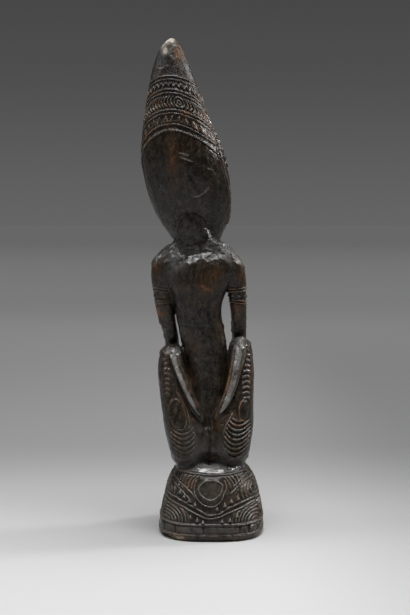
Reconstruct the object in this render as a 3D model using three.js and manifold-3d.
// A squatting figure on a domed base, carved from one piece of dark hardwood.
//
// Units are millimetres, +Z is up. The origin is the middle of the flat underside.
// -Y is the figure's back, the side with the smooth back of the head and the buttocks;
// +Y is its front, with the face, the hands on the shins and the feet.
//
// The whole work is one solid. Each form (base, thigh, shin, torso, arm, neck, head) is a
// stack of level sections, each a squared-off ellipse, and the carving stands on those
// forms as raised rows of the stacks and a few low ridges. The pieces are joined at the end.
import * as THREE from "three";
import { mergeVertices } from "three/addons/utils/BufferGeometryUtils.js";
import Module from "manifold-3d";

// Driving dimensions
const TOTAL_HEIGHT = 400;
const BASE_HALF_WIDTH = 43;
const BASE_HALF_DEPTH = 49;
const RIM_HEIGHT = 50; // where the base's carved wall ends and its smooth dome starts
const RIDGE = 1; // how far a carved line stands from its ground
const FLANK = 1.3; // how far above and below a carved line its ground starts
const DEGREE = Math.PI / 180;

// Each row of a form's table is one level section:
// height, centre x, centre y, half width, half depth, squareness (2 is a plain ellipse)
const BASE = {
  rows: [
    [0, 0.6, 0, BASE_HALF_WIDTH - 1.4, BASE_HALF_DEPTH - 1.6, 3],
    [2.6, 0.6, 0, BASE_HALF_WIDTH, BASE_HALF_DEPTH, 3],
    [9, 0.8, 0, 42.5, 48.2, 2.9],
    [22, 1.2, 0, 40.4, 45.8, 2.7],
    [36, 1.2, 0, 37.3, 42.6, 2.5],
    [44, 1.1, 0, 34.2, 39.8, 2.4],
    [RIM_HEIGHT, 0.9, 0, 30.6, 36.6, 2.4],
    [56, 0.5, 0, 23.6, 29.4, 2.8],
    [63, 0, 0, 9, 14, 2],
  ],
  closesAbove: 2,
};

const LEFT_THIGH = {
  rows: [
    [49, -17.4, -6.5, 8, 9.5, 2.2],
    [55, -17.6, -8.4, 11.2, 13.6, 2.3],
    [62, -17.2, -11, 14.6, 18, 2.3],
    [76, -18.3, -12, 17.2, 19.6, 2.3],
    [90, -21.2, -11.5, 17, 18.8, 2.3],
    [103, -25.8, -9.5, 14.3, 18, 2.3],
    [116, -28.4, -6.5, 13.3, 17.4, 2.2],
    [130, -30.8, -3.4, 12.2, 16.8, 2.2],
    [142, -31.7, -0.8, 10.8, 15.2, 2.2],
    [153, -31.4, -1, 10, 13, 2.2],
  ],
  closesBelow: 5,
  closesAbove: 9,
};

const RIGHT_THIGH = {
  rows: [
    [49, 15.8, -6.5, 8, 9.5, 2.2],
    [55, 16.2, -8.4, 11.2, 13.6, 2.3],
    [62, 16, -11, 14.8, 18, 2.3],
    [76, 16.3, -12, 17.2, 19.6, 2.3],
    [90, 17.8, -11.5, 16.9, 18.8, 2.3],
    [103, 21.9, -9.5, 13.1, 18, 2.3],
    [116, 24.2, -6.5, 11.1, 17.4, 2.3],
    [130, 25.1, -3.4, 10.4, 16.8, 2.3],
    [145, 24.7, -0.8, 9.8, 15.2, 2.3],
    [159, 24.2, -1, 9.6, 12.5, 2.3],
  ],
  closesBelow: 5,
  closesAbove: 11,
};

// Shin, calf and ankle, folded against the thigh on the figure's front.
const LEFT_SHIN = {
  rows: [
    [50, -15.5, 19, 6.6, 8, 2.1],
    [60, -16, 19, 7, 9, 2.1],
    [76, -18.6, 18, 8.6, 12, 2.1],
    [94, -22.4, 15.5, 10.2, 14.6, 2.1],
    [112, -26.5, 12.5, 10.6, 15.6, 2.1],
    [130, -30, 9.5, 10.4, 15, 2.1],
    [145, -31.6, 7, 9.4, 13, 2.1],
  ],
  closesBelow: 2,
  closesAbove: 10,
};

const RIGHT_SHIN = {
  rows: [
    [50, 13.5, 19, 6.6, 8, 2.1],
    [60, 14, 19, 7, 9, 2.1],
    [76, 16, 18, 8.6, 12, 2.1],
    [94, 19, 15.5, 10, 14.6, 2.1],
    [112, 22, 12.5, 9.9, 15.6, 2.1],
    [132, 24.4, 9.5, 9.4, 15, 2.1],
    [150, 24.6, 7, 8.8, 12.5, 2.1],
  ],
  closesBelow: 2,
  closesAbove: 11,
};

const LEFT_FOOT = {
  rows: [
    [46, -15.5, 23.5, 7.4, 12.6, 2.4],
    [51, -15.5, 23.5, 7.4, 12.6, 2.4],
    [61, -15.5, 20, 5.8, 9, 2.2],
  ],
  closesBelow: 1,
  closesAbove: 7,
};

const RIGHT_FOOT = {
  rows: LEFT_FOOT.rows.map(([z, x, ...rest]) => [z, x + 29, ...rest]),
  closesBelow: 1,
  closesAbove: 7,
};

const TORSO = {
  rows: [
    [54, -0.8, 2, 9, 13, 2.2],
    [66, -1, 1, 11, 15, 2.2],
    [82, -1.6, -0.4, 12, 19.2, 2.2],
    [92, -1.8, -0.2, 12, 19.4, 2.2],
    [101, -2.4, 1.2, 14.6, 17.8, 2.3],
    [111, -2.5, 2, 16.2, 16.6, 2.3],
    [130, -2.8, 2.2, 17.4, 16, 2.3],
    [156, -5.8, 1.4, 18.6, 15.2, 2.4],
    [170, -8.5, 0.8, 18.7, 15.4, 2.4],
    [182, -10, 0.4, 19.2, 16, 2.4],
    [194, -10, 0, 22, 16.6, 2.4],
    [204, -10, -0.4, 27.6, 16.8, 2.5],
    [213, -10.2, -0.4, 33.4, 16.2, 2.5],
    [220, -10.6, 0, 35, 15.2, 2.4],
    [226, -10.8, 0.8, 32.4, 12.8, 2.3],
    [231, -10.6, 1.6, 28.6, 10.6, 2.2],
    [235.5, -9.4, 1.2, 21.8, 9.6, 2.2],
    [240, -13, 0.2, 16.4, 10.2, 2.4],
    [247, -15, -0.6, 13.2, 11.2, 2.6],
    [254, -15.6, -0.6, 12.5, 11.6, 2.7],
  ],
  closesBelow: 6,
  closesAbove: 1,
};

const NECK = {
  rows: [
    [222, -15.2, 0.5, 10, 10.5, 2.4],
    [230, -15.4, 0.6, 12, 10.8, 2.6],
    [238, -15.6, 0.2, 12.5, 11.2, 2.6],
    [247, -15.7, -0.4, 12.8, 12.6, 2.4],
    [256, -15.8, 0, 12.8, 14.4, 2.3],
    [263, -15.8, 3, 12.4, 14.6, 2.3],
    [268, -15.8, 6, 12, 14, 2.3],
  ],
  closesBelow: 3,
};

const LEFT_ARM = {
  rows: [
    [112, -27.4, 27.6, 5, 2.6, 2.2],
    [122, -28.6, 28.6, 6.6, 3.4, 2.4],
    [132, -30.2, 27.4, 6.8, 4.2, 2.4],
    [141, -31.4, 22.6, 6.2, 5.2, 2.3],
    [149, -31.8, 16, 6, 6.2, 2.3],
    [157, -32.2, 10.6, 6, 6.6, 2.3],
    [169, -35, 6.4, 6.8, 6.8, 2.4],
    [182, -37.4, 3.4, 7.6, 7.4, 2.4],
    [196, -39.2, 1.2, 8, 8.4, 2.4],
    [208, -40.2, 0.2, 8.5, 10, 2.3],
    [218, -39.6, 0.2, 8.6, 10.6, 2.2],
    [231, -35.6, 1, 9.4, 9.6, 2.1],
  ],
  closesBelow: 3,
  closesAbove: 14,
};

const RIGHT_ARM = {
  rows: [
    [116, 20.6, 27.8, 5, 2.6, 2.2],
    [126, 21.8, 28.8, 6.6, 3.4, 2.4],
    [136, 23.4, 27.6, 6.8, 4.2, 2.4],
    [146, 24.2, 22.8, 6.2, 5.2, 2.3],
    [154, 24, 16.2, 6, 6.2, 2.3],
    [162, 23.8, 11, 6.1, 6.6, 2.3],
    [172, 23.5, 7.4, 6.3, 6.8, 2.4],
    [184, 22.8, 4, 7, 7.4, 2.4],
    [196, 21.6, 1.4, 8.1, 8.4, 2.4],
    [208, 20, 0.2, 9, 10, 2.3],
    [217, 18, 0.2, 9.4, 10.6, 2.2],
    [230, 12.6, 1, 9.6, 9.6, 2.1],
  ],
  closesBelow: 3,
  closesAbove: 14,
};

const HEAD = {
  rows: [
    [227, -10.6, 24, 12, 8, 2.1],
    [234, -11, 21.6, 16.8, 13, 2.2],
    [241, -11.8, 19, 21, 18.2, 2.2],
    [254, -13.6, 15, 28.4, 25.4, 2.2],
    [267, -15.6, 11, 32.2, 29, 2.2],
    [280, -17.8, 7.6, 34, 30.6, 2.2],
    [300, -21.4, 3.6, 34.1, 30.8, 2.2],
    [313, -23.6, 2, 32.4, 29, 2.2],
    [327, -26.2, 0.6, 28.5, 26.6, 2.1],
    [342, -28.1, -0.8, 24.6, 23, 2.1],
    [361, -30, -2, 19.8, 18, 2],
    [375, -31.3, -2.6, 15.7, 14, 2],
    [387, -31.8, -3, 11.4, 10.2, 2],
    [TOTAL_HEIGHT, -31.6, -3, 6.6, 6, 2],
  ],
  closesBelow: 7,
  closesAbove: 9,
};

// The crest that runs from each knee down the thigh, and its flat, tapered end at the hip.
const LEFT_CREST = {
  rows: [
    [91, -5.2, -18.4, 3.4, 4.4, 2.2],
    [97, -8.4, -20.6, 4.6, 5, 2.6],
    [103.5, -12.2, -21.8, 4.8, 5.2, 2.8],
    [110, -15.8, -21.2, 4, 5, 2.6],
    [119, -20.2, -19.2, 4.8, 5.2, 2.6],
    [131, -25.6, -15.6, 5.6, 6, 2.6],
    [143, -30, -9.8, 6.6, 7.4, 2.5],
    [151, -31.6, -5.4, 7.4, 8, 2.4],
  ],
  closesBelow: 5,
  closesAbove: 7,
};

const RIGHT_CREST = {
  rows: [
    [94, 4.4, -18.4, 3.4, 4.4, 2.2],
    [100, 7.8, -20.6, 4.6, 5, 2.6],
    [107, 11.8, -21.8, 4.8, 5.2, 2.8],
    [113, 14.4, -21.2, 4, 5, 2.6],
    [122, 17.6, -19.2, 4.8, 5.2, 2.6],
    [134, 20.8, -15.6, 5.6, 6, 2.6],
    [147, 23.6, -9.8, 6.4, 7.4, 2.5],
    [157, 24.2, -5.4, 7.2, 8, 2.4],
  ],
  closesBelow: 5,
  closesAbove: 8,
};

// The flesh between the thighs, parted on the back by a narrow cut
const SEAT = {
  rows: [
    [56, -0.8, -6, 8, 8.4, 2.4],
    [62, -0.8, -8.6, 11, 13.8, 2.5],
    [68, -0.9, -10.8, 13, 17.8, 2.7],
    [76, -0.9, -11, 12.4, 17, 2.5],
    [82, -0.9, -10.4, 11, 15.1, 2.4],
    [88, -0.9, -9.6, 9, 12.9, 2.3],
    [94, -0.9, -8.6, 6.5, 10.8, 2.2],
  ],
  closesBelow: 4,
  closesAbove: 2,
};

const bottomOf = (form) => form.rows[0][0];
const topOf = (form) => form.rows.at(-1)[0];

// A smooth curve through a table's rows, read at height z: centre, half sizes and squareness.
function section(form, z) {
  const rows = form.rows;
  const last = rows.length - 1;
  let k = 0;
  while (k < last - 1 && z > rows[k + 1][0]) k++;
  const a = rows[k];
  const b = rows[k + 1];
  const before = rows[Math.max(k - 1, 0)];
  const after = rows[Math.min(k + 2, last)];
  const step = b[0] - a[0];
  const t = THREE.MathUtils.clamp((z - a[0]) / step, 0, 1);
  const [x, y, halfX, halfY, power] = [1, 2, 3, 4, 5].map((c) => {
    const slopeA = ((b[c] - before[c]) / (b[0] - before[0])) * step;
    const slopeB = ((after[c] - a[c]) / (after[0] - a[0])) * step;
    const rise = b[c] - a[c];
    const cubic = slopeA + slopeB - 2 * rise;
    return a[c] + t * (slopeA + t * (3 * rise - 2 * slopeA - slopeB + t * cubic));
  });
  return { x, y, halfX, halfY, power };
}

// How much of its full size a section keeps where the form rounds over at an end.
function closing(form, z) {
  const above = form.closesAbove ? (z - topOf(form)) / form.closesAbove + 1 : 0;
  const below = form.closesBelow ? (bottomOf(form) - z) / form.closesBelow + 1 : 0;
  const past = THREE.MathUtils.clamp(Math.max(above, below), 0, 1);
  return Math.sqrt(1 - past * past);
}

const squared = (wave, power) => Math.sign(wave) * Math.abs(wave) ** (2 / power);

// The point of a form's surface at a height and an angle from its back: 0 is -Y, 90 degrees +X.
function surface(form, z, angle, lift = 0) {
  const s = section(form, z);
  const keep = closing(form, z);
  const x = s.halfX * keep * squared(Math.sin(angle), s.power);
  const y = -s.halfY * keep * squared(Math.cos(angle), s.power);
  const out = new THREE.Vector2(x / s.halfX ** 2, y / s.halfY ** 2).normalize().multiplyScalar(lift);
  return new THREE.Vector3(s.x + x + out.x, s.y + y + out.y, z);
}

// The point of a form's surface at a place x, z, on its back (side -1) or its front (side 1).
function facing(form, x, z, side, lift = 0) {
  const s = section(form, z);
  const keep = closing(form, z);
  const across = Math.min(Math.abs(x - s.x) / (s.halfX * keep), 0.98);
  const y = s.halfY * keep * (1 - across ** s.power) ** (1 / s.power);
  return new THREE.Vector3(x, s.y + side * (y + lift), z);
}

// A closed geometry from rings of points that all have the same number of places.
function closedGrid(rings) {
  const count = rings[0].length;
  const middle = (ring) => ring.reduce((sum, p) => sum.add(p), new THREE.Vector3()).divideScalar(count);
  const points = [middle(rings[0]), ...rings.flat(), middle(rings.at(-1))];
  const index = [];
  const at = (r, c) => 1 + r * count + (c % count);
  for (let c = 0; c < count; c++) {
    index.push(0, at(0, c + 1), at(0, c));
    index.push(points.length - 1, at(rings.length - 1, c), at(rings.length - 1, c + 1));
    for (let r = 0; r < rings.length - 1; r++) {
      index.push(at(r, c), at(r, c + 1), at(r + 1, c + 1));
      index.push(at(r, c), at(r + 1, c + 1), at(r + 1, c));
    }
  }
  return new THREE.BufferGeometry().setFromPoints(points).setIndex(index);
}

// Heights that crowd together towards both ends, where a form rounds over.
function levels(form, count) {
  const low = bottomOf(form);
  const high = topOf(form);
  return Array.from({ length: count }, (_, k) => {
    const share = (1 - Math.cos((Math.PI * (k + 0.5)) / count)) / 2;
    return low + (high - low) * share;
  });
}

// Rows for a line carved at height z: its ground below, the raised line and its ground above.
const line = (z, lift = RIDGE) => [{ z: z - FLANK }, { z, lift }, { z: z + FLANK }];
const plain = (...heights) => heights.map((z) => ({ z }));

const wasm = await Module();
wasm.setup();

function toSolid(geometry) {
  const bare = geometry.clone().deleteAttribute("normal").deleteAttribute("uv");
  const merged = mergeVertices(bare, 1e-4);
  const mesh = new wasm.Mesh({
    numProp: 3,
    vertProperties: merged.attributes.position.array,
    triVerts: new Uint32Array(merged.index.array),
  });
  return new wasm.Manifold(mesh);
}

const join = (solids) => solids.reduce((whole, piece) => whole.add(piece));

// A form's solid. A row may bend away from the level (bend) and carry carving (lift, a number
// or a function of the angle).
function body(form, rows, around, bend = () => 0) {
  const angles = Array.from({ length: around }, (_, c) => (c / around) * 2 * Math.PI);
  const rings = rows.map(({ z, lift = 0 }) =>
    angles.map((angle, place) => {
      const raised = typeof lift === "function" ? lift(angle, place) : lift;
      return surface(form, z + bend(z, angle), angle, raised);
    }),
  );
  return toSolid(closedGrid(rings));
}

// A carved line that crosses a form's rows: a low ridge through placeAt(0) to placeAt(1).
function carvedLine(placeAt, steps, half = RIDGE) {
  const corners = [[half, 0], [0, half], [-half, 0], [0, -half]];
  const diamond = new THREE.Shape(corners.map(([x, y]) => new THREE.Vector2(x, y)));
  const points = Array.from({ length: steps + 1 }, (_, k) => placeAt(k / steps));
  const extrudePath = new THREE.CatmullRomCurve3(points);
  return toSolid(new THREE.ExtrudeGeometry(diamond, { steps, extrudePath, bevelEnabled: false }));
}

// A carved line that closes on itself, as two halves that overlap a little.
function carvedLoop(placeAt, steps, half = RIDGE) {
  const starts = [-0.01, 0.49];
  return join(starts.map((start) => carvedLine((t) => placeAt(start + 0.52 * t), steps / 2, half)));
}

const mix = THREE.MathUtils.lerp;
const solids = [];
const SIDES = [-1, 1];

// Base: two level lines, a double V on the back and the front, a rim and a smooth dome
const VALLEY = { low: 18.4, gap: 3.4, rise: 15 };

function bendOfBase(z, angle) {
  const across = Math.abs(squared(Math.sin(angle), 2.7));
  const full = Math.sqrt(across ** 2 + 0.01) - 0.1;
  const below = THREE.MathUtils.smoothstep(z, 14, VALLEY.low - FLANK);
  const above = 1 - THREE.MathUtils.smoothstep(z, VALLEY.low + VALLEY.gap + FLANK, RIM_HEIGHT - 3);
  return VALLEY.rise * full * Math.min(below, above);
}

const baseRows = [
  ...plain(0, 2.6),
  ...line(6.2),
  ...line(13.2),
  ...line(VALLEY.low),
  ...line(VALLEY.low + VALLEY.gap).slice(1),
  ...plain(33, 42),
  ...line(RIM_HEIGHT - 1.4),
  ...plain(53, 57, 60),
];
solids.push(body(BASE, baseRows, 34, bendOfBase));

const RING = { x: 0, z: 39.5, radius: 10.5 };
for (const side of SIDES) {
  const onRing = (t) => {
    const turn = t * 2 * Math.PI;
    const x = RING.x + RING.radius * Math.sin(turn);
    return facing(BASE, x, RING.z + RING.radius * 0.86 * Math.cos(turn), side);
  };
  solids.push(carvedLoop(onRing, 12, 1.2));
}

// Legs: thighs with a column of scales, a smooth panel and nested arcs
const THIGHS = [
  { form: LEFT_THIGH, arcs: { low: 62, high: 84 }, scales: { low: 111, high: 138 }, turn: -12 * DEGREE },
  { form: RIGHT_THIGH, arcs: { low: 67, high: 91 }, scales: { low: 115, high: 144 }, turn: 10 * DEGREE },
];
const ARC_COUNT = 5;
const SCALE_COUNT = 4;
for (const { form, arcs, scales, turn } of THIGHS) {
  const near = (angle, width) => {
    const edge = Math.cos(width);
    return Math.max(0, Math.cos(angle - turn) - edge) / (1 - edge);
  };
  const arcLift = (angle) => RIDGE * Math.min(1, 2 * near(angle, 50 * DEGREE));
  const scaleLift = (angle) => RIDGE * near(angle - 12 * DEGREE * Math.sign(turn), 40 * DEGREE);
  const rows = [...plain(form.rows[0][0] + 0.4, form.rows[0][0] + 2.4, 56)];
  for (let k = 0; k < ARC_COUNT; k++) {
    const z = mix(arcs.low, arcs.high, k / (ARC_COUNT - 1));
    rows.push({ z: z - FLANK }, { z: z + FLANK, lift: arcLift });
  }
  rows.push(...plain(arcs.high + 6, arcs.high + 16));
  for (let k = 0; k < SCALE_COUNT; k++) {
    const z = mix(scales.low, scales.high, k / (SCALE_COUNT - 1));
    rows.push({ z: z - FLANK }, { z: z + FLANK, lift: scaleLift });
  }
  rows.push(...plain(mix(scales.high, topOf(form), 0.45), topOf(form) - 2.6, topOf(form) - 0.4));
  // Rows among the arcs sag towards the back of the thigh, rows among the scales rise there
  const bend = (z, angle) => {
    const back = near(angle, 75 * DEGREE);
    const change = THREE.MathUtils.smoothstep(z, arcs.high, scales.low);
    const sag = THREE.MathUtils.smoothstep(z, 55, 60) * (1 - change);
    const rise = change * (1 - THREE.MathUtils.smoothstep(z, scales.high, topOf(form)));
    return back * (1.6 * rise - 3 * sag);
  };
  solids.push(body(form, rows, 18, bend));
}

const SIMPLE_FORMS = [
  [LEFT_SHIN, 7, 12],
  [RIGHT_SHIN, 7, 12],
  [LEFT_FOOT, 5, 10],
  [RIGHT_FOOT, 5, 10],
  [SEAT, 6, 12],
  [LEFT_CREST, 9, 8],
  [RIGHT_CREST, 9, 8],
];
for (const [form, count, around] of SIMPLE_FORMS) {
  solids.push(body(form, plain(...levels(form, count)), around));
}

// Torso, neck and arms, with a ribbed band round each upper arm
const torsoLow = [54.4, 60, 82, 92, 101, 112, 130, 156, 170, 182];
const torsoHigh = [194, 204, 213, 220, 226, 231, 235.5, 240, 253.6];
solids.push(body(TORSO, plain(...torsoLow, ...torsoHigh), 18));
solids.push(body(NECK, plain(222.2, 225, 232, 240, 249, 257, 263, 267.8), 14));

const BAND = { low: 187.5, pitch: 3.6, ribs: 4 };
const bandRows = Array.from({ length: BAND.ribs }, (_, k) => line(BAND.low + k * BAND.pitch, 0.8)).flatMap(
  (rows, k) => (k ? rows.slice(1) : rows),
);
for (const arm of [LEFT_ARM, RIGHT_ARM]) {
  const low = bottomOf(arm);
  const lower = plain(low + 0.5, low + 3, low + 10, low + 20, low + 30, low + 40, low + 58);
  const upper = plain(208, 217, 224, 228.5, topOf(arm) - 0.4);
  solids.push(body(arm, [...lower, ...bandRows, ...upper], 12));
  for (const finger of [-1, 0, 1]) {
    const tip = low + 4;
    const onFinger = (t) => {
      const z = mix(tip + 13, tip, t);
      return facing(arm, section(arm, z).x + finger * 3, z, 1);
    };
    solids.push(carvedLine(onFinger, 2, 0.8));
  }
}

// Head: a tall pointed egg, banded with arched lines that dip at each side to a notched crest
const NAPE_TURN = -10 * DEGREE; // the middle of the back of the head faces a little to the left
const LINES = [324, 329.6, 341.2, 357.2, 368];

const archOfHead = (z) => {
  const rising = THREE.MathUtils.smoothstep(z, 262, 324);
  const falling = THREE.MathUtils.smoothstep(z, 320, 396);
  return 25 * rising * (1 - falling);
};
const bendOfHead = (z, angle) => -archOfHead(z) * (1 - Math.abs(Math.cos(angle - NAPE_TURN)));
const alternate = (lift) => (_, place) => (place % 2 ? lift : 0);
const crestLift = (angle) => (Math.abs(Math.cos(angle - NAPE_TURN)) < 0.2 ? 1.2 : 0);

const headRows = [
  ...plain(227.4, 230, 235, 243, 254, 267, 277, 288),
  { z: 297, lift: crestLift },
  { z: 303 },
  { z: 310, lift: crestLift },
  { z: 316 },
  ...line(LINES[0]),
  ...line(LINES[1]).slice(1),
  { z: 335.6, lift: alternate(1.3) },
  ...line(LINES[2]),
  { z: 349.2, lift: alternate(1.5) },
  ...line(LINES[3]),
  { z: 362.6, lift: alternate(1) },
  ...line(LINES[4]),
  ...plain(378, 388, 395, TOTAL_HEIGHT - 0.1),
];
solids.push(body(HEAD, headRows, 26, bendOfHead));

// Face: calm and plain, with arched brows, closed almond eyes, a straight nose and a small mouth
const onFace = (across, z, lift = 0) => facing(HEAD, section(HEAD, z).x + across, z, 1, lift);
const NOSE = [
  // height, half width, how far it stands out
  [264.5, 2.8, 1.6],
  [267, 4.6, 4.2],
  [271, 3.8, 3.8],
  [281, 2.2, 2.4],
  [291, 1.4, 0.6],
];
const noseRings = NOSE.map(([z, width, out]) => {
  const ground = onFace(0, z, -4);
  const shoulder = onFace(0, z, out * 0.5);
  return [
    new THREE.Vector3(ground.x - width, ground.y, z),
    new THREE.Vector3(ground.x + width, ground.y, z),
    new THREE.Vector3(ground.x + width * 0.7, shoulder.y, z),
    new THREE.Vector3(ground.x, shoulder.y + out * 0.5, z),
    new THREE.Vector3(ground.x - width * 0.7, shoulder.y, z),
  ];
});
solids.push(toSolid(closedGrid(noseRings)));
for (const side of SIDES) {
  const onBrow = (t) => onFace(side * mix(1.5, 21, t), 291 + 5 * Math.sin(Math.PI * t) - 3 * t);
  solids.push(carvedLine(onBrow, 4, 1.3));
  const onLid = (t) => onFace(side * mix(6, 18.5, t), 284 - 2.2 * Math.sin(Math.PI * t));
  solids.push(carvedLine(onLid, 4, 1.1));
  const onLip = (t) => onFace(mix(-6.4, 6.4, t), 257.4 + side * 1.5 * Math.sin(Math.PI * t));
  solids.push(carvedLine(onLip, 3, 1));
}

const whole = join(solids);
const made = whole.getMesh();
const geometry = new THREE.BufferGeometry()
  .setAttribute("position", new THREE.BufferAttribute(new Float32Array(made.vertProperties), 3))
  .setIndex(new THREE.BufferAttribute(made.triVerts, 1));
geometry.computeVertexNormals();

const wood = new THREE.MeshStandardMaterial({ color: 0x2a1c14, roughness: 0.42, metalness: 0 });
const figure = new THREE.Mesh(geometry, wood);
figure.name = "carved_figure";

const group = new THREE.Group();
group.add(figure);

export default group;
